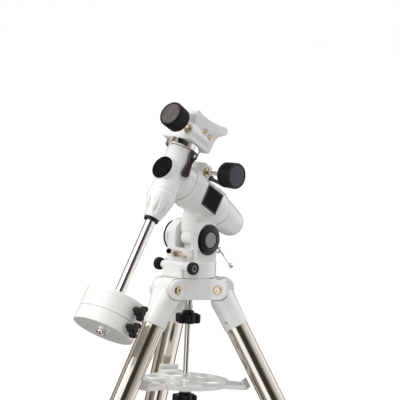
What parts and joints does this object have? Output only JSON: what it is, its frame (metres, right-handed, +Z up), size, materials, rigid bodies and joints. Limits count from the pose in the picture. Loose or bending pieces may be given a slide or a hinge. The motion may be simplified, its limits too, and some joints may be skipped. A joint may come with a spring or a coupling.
{
  "type": "equatorial telescope mount",
  "caption": "Equatorial telescope mount with latitude fork, two slow motion axes, counterweight shaft and dovetail saddle on a folding steel tripod.",
  "frame": {"origin": "on the floor, under the azimuth axis", "axes": "+Z up along the azimuth axis, -Y north towards the pole that the polar axis points at, +X east"},
  "size_m": [0.8252, 0.7206, 1.0497],
  "materials": {
    "white_enamel": "gloss",
    "cream_enamel": "gloss",
    "black_plastic": "satin",
    "grey_plastic": "satin",
    "rubber": "matte",
    "chrome": "polished",
    "stainless_steel": "polished",
    "brass": "satin"
  },
  "bodies": {
    "tripod": {"tripod_hub": "white_enamel", "accessory_tray": "white_enamel", "leg_socket_1": "white_enamel", "leg_hinge_bolt_1": "brass", "leg_upper_tube_1": "stainless_steel", "leg_clamp_1": "white_enamel", "leg_socket_2": "white_enamel", "leg_hinge_bolt_2": "brass", "leg_upper_tube_2": "stainless_steel", "leg_clamp_2": "white_enamel", "leg_socket_3": "white_enamel", "leg_hinge_bolt_3": "brass", "leg_upper_tube_3": "stainless_steel", "leg_clamp_3": "white_enamel"},
    "lock_bolt": {"center_bolt": "chrome", "mount_lock_knob": "black_plastic"},
    "tray_nut": {"tray_knob": "black_plastic"},
    "leg_1": {"leg_lower_tube_1": "stainless_steel", "leg_foot_1": "rubber"},
    "clamp_knob_1": {"leg_clamp_knob_1": "black_plastic"},
    "leg_2": {"leg_lower_tube_2": "stainless_steel", "leg_foot_2": "rubber"},
    "clamp_knob_2": {"leg_clamp_knob_2": "black_plastic"},
    "leg_3": {"leg_lower_tube_3": "stainless_steel", "leg_foot_3": "rubber"},
    "clamp_knob_3": {"leg_clamp_knob_3": "black_plastic"},
    "azimuth": {"azimuth_base": "white_enamel", "latitude_bolt": "black_plastic", "latitude_cap": "black_plastic"},
    "azimuth_east": {"azimuth_screw_east": "black_plastic"},
    "azimuth_west": {"azimuth_screw_west": "black_plastic"},
    "latitude_north": {"latitude_screw_north": "chrome"},
    "latitude_south": {"latitude_screw_south": "chrome"},
    "polar_body": {"ra_housing": "white_enamel", "ra_label_plate": "black_plastic", "ra_bushing": "brass"},
    "rear_cap": {"ra_rear_cap": "white_enamel"},
    "ra_circle": {"ra_setting_circle": "white_enamel"},
    "ra_drive": {"ra_worm": "chrome", "ra_knob": "black_plastic"},
    "ra_lever": {"ra_lock_lever": "grey_plastic"},
    "ra_carrier": {"ra_shaft": "stainless_steel", "dec_housing": "white_enamel", "dec_worm_wheel": "brass", "dec_nose": "white_enamel", "counterweight_shaft": "chrome", "toe_saver": "chrome"},
    "polar_cap": {"polar_front_cap": "black_plastic"},
    "dec_circle": {"dec_setting_circle": "chrome"},
    "dec_turret": {"saddle": "white_enamel", "dec_shaft": "stainless_steel", "dec_bushing": "brass"},
    "dec_drive": {"dec_worm": "chrome", "dec_knob": "black_plastic"},
    "dec_lever": {"dec_lock_lever": "black_plastic"},
    "saddle_clamp": {"saddle_clamp_knob": "black_plastic"},
    "weight_upper": {"counterweight_upper": "cream_enamel"},
    "weight_lower": {"counterweight_lower": "cream_enamel"},
    "weight_knob_upper": {"counterweight_knob_upper": "black_plastic"},
    "weight_knob_lower": {"counterweight_knob_lower": "black_plastic"}
  },
  "joints": [
    {"name": "mount_lock_turn", "type": "hinge", "parent": "tripod", "child": "lock_bolt", "pos_m": [0, 0, 0.63], "axis": [0, 0, 1], "continuous": true},
    {"name": "tray_knob_turn", "type": "hinge", "parent": "tripod", "child": "tray_nut", "pos_m": [0, 0, 0.46], "axis": [0, 0, 1], "continuous": true},
    {"name": "leg_1_extend", "type": "slide", "parent": "tripod", "child": "leg_1", "axis": [0, -0.4939, -0.8695], "range_m": [0, 0.3]},
    {"name": "clamp_1_turn", "type": "hinge", "parent": "tripod", "child": "clamp_knob_1", "pos_m": [0, -0.30575, 0.24629], "axis": [0, -0.8695, 0.4939], "continuous": true},
    {"name": "leg_2_extend", "type": "slide", "parent": "tripod", "child": "leg_2", "axis": [0.4278, 0.247, -0.8695], "range_m": [0, 0.3]},
    {"name": "clamp_2_turn", "type": "hinge", "parent": "tripod", "child": "clamp_knob_2", "pos_m": [0.26479, 0.15288, 0.24629], "axis": [0.753, 0.4347, 0.4939], "continuous": true},
    {"name": "leg_3_extend", "type": "slide", "parent": "tripod", "child": "leg_3", "axis": [-0.4278, 0.247, -0.8695], "range_m": [0, 0.3]},
    {"name": "clamp_3_turn", "type": "hinge", "parent": "tripod", "child": "clamp_knob_3", "pos_m": [-0.26479, 0.15288, 0.24629], "axis": [-0.753, 0.4347, 0.4939], "continuous": true},
    {"name": "azimuth_turn", "type": "hinge", "parent": "tripod", "child": "azimuth", "pos_m": [0, 0, 0.705], "axis": [0, 0, 1], "range_deg": [-6, 6]},
    {"name": "azimuth_east_feed", "type": "slide", "parent": "azimuth", "child": "azimuth_east", "axis": [1, 0, 0], "range_m": [-0.006, 0.006]},
    {"name": "azimuth_west_feed", "type": "slide", "parent": "azimuth", "child": "azimuth_west", "axis": [1, 0, 0], "range_m": [-0.006, 0.006]},
    {"name": "latitude_tilt", "type": "hinge", "parent": "azimuth", "child": "polar_body", "pos_m": [0, 0, 0.781], "axis": [-1, 0, 0], "range_deg": [-5, 20]},
    {"name": "latitude_north_feed", "type": "slide", "parent": "azimuth", "child": "latitude_north", "axis": [0, -1, 0], "range_m": [-0.004, 0.012]},
    {"name": "latitude_south_feed", "type": "slide", "parent": "azimuth", "child": "latitude_south", "axis": [0, -1, 0], "range_m": [-0.004, 0.012]},
    {"name": "ra_turn", "type": "hinge", "parent": "polar_body", "child": "ra_carrier", "pos_m": [0, -0.06542, 0.90768], "axis": [0, -0.866, 0.5], "continuous": true},
    {"name": "ra_knob_turn", "type": "hinge", "parent": "polar_body", "child": "ra_drive", "pos_m": [0, 0.0167, 0.90992], "axis": [1, 0, 0], "continuous": true},
    {"name": "ra_lever_turn", "type": "hinge", "parent": "polar_body", "child": "ra_lever", "pos_m": [0.008, 0.03598, 0.89533], "axis": [0, 0.5, 0.866], "range_deg": [0, 50]},
    {"name": "ra_circle_turn", "type": "hinge", "parent": "polar_body", "child": "ra_circle", "pos_m": [0, -0.02645, 0.88518], "axis": [0, -0.866, 0.5], "continuous": true},
    {"name": "rear_cap_pull", "type": "slide", "parent": "polar_body", "child": "rear_cap", "axis": [0, 0.866, -0.5], "range_m": [0, 0.04]},
    {"name": "dec_turn", "type": "hinge", "parent": "ra_carrier", "child": "dec_turret", "pos_m": [0, -0.03542, 0.95965], "axis": [0, 0.5, 0.866], "range_deg": [-200, 65]},
    {"name": "dec_knob_turn", "type": "hinge", "parent": "dec_turret", "child": "dec_drive", "pos_m": [0.029, -0.02292, 0.9813], "axis": [0, -0.866, 0.5], "continuous": true},
    {"name": "dec_lever_turn", "type": "hinge", "parent": "ra_carrier", "child": "dec_lever", "pos_m": [0.029, -0.04068, 0.94455], "axis": [-1, 0, 0], "range_deg": [0, 50]},
    {"name": "dec_circle_turn", "type": "hinge", "parent": "ra_carrier", "child": "dec_circle", "pos_m": [0, -0.03542, 0.95965], "axis": [0, 0.5, 0.866], "continuous": true},
    {"name": "polar_cap_pull", "type": "slide", "parent": "ra_carrier", "child": "polar_cap", "axis": [0, -0.866, 0.5], "range_m": [0, 0.03]},
    {"name": "saddle_clamp_turn", "type": "hinge", "parent": "dec_turret", "child": "saddle_clamp", "pos_m": [-0.06, 0.01288, 0.99931], "axis": [-1, 0, 0], "continuous": true},
    {"name": "weight_upper_slide", "type": "slide", "parent": "ra_carrier", "child": "weight_upper", "axis": [0, 0.5, 0.866], "range_m": [0, 0.15]},
    {"name": "weight_lower_slide", "type": "slide", "parent": "ra_carrier", "child": "weight_lower", "axis": [0, 0.5, 0.866], "range_m": [0, 0.15]},
    {"name": "weight_knob_upper_turn", "type": "hinge", "parent": "weight_upper", "child": "weight_knob_upper", "pos_m": [0.072, -0.20985, 0.65753], "axis": [1, 0, 0], "continuous": true},
    {"name": "weight_knob_lower_turn", "type": "hinge", "parent": "weight_lower", "child": "weight_knob_lower", "pos_m": [0.072, -0.22742, 0.62709], "axis": [1, 0, 0], "continuous": true}
  ],
  "couplings": [
    {"joint": "azimuth_east_feed", "follows": "azimuth_turn", "m_per_rad": -0.0385},
    {"joint": "azimuth_west_feed", "follows": "azimuth_turn", "m_per_rad": -0.0385},
    {"joint": "latitude_north_feed", "follows": "latitude_tilt", "m_per_rad": 0.03},
    {"joint": "latitude_south_feed", "follows": "latitude_tilt", "m_per_rad": 0.03},
    {"joint": "ra_knob_turn", "follows": "ra_turn", "ratio": 130},
    {"joint": "dec_knob_turn", "follows": "dec_turn", "ratio": 65},
    {"joint": "weight_lower_slide", "follows": "weight_upper_slide", "ratio": 1}
  ]
}
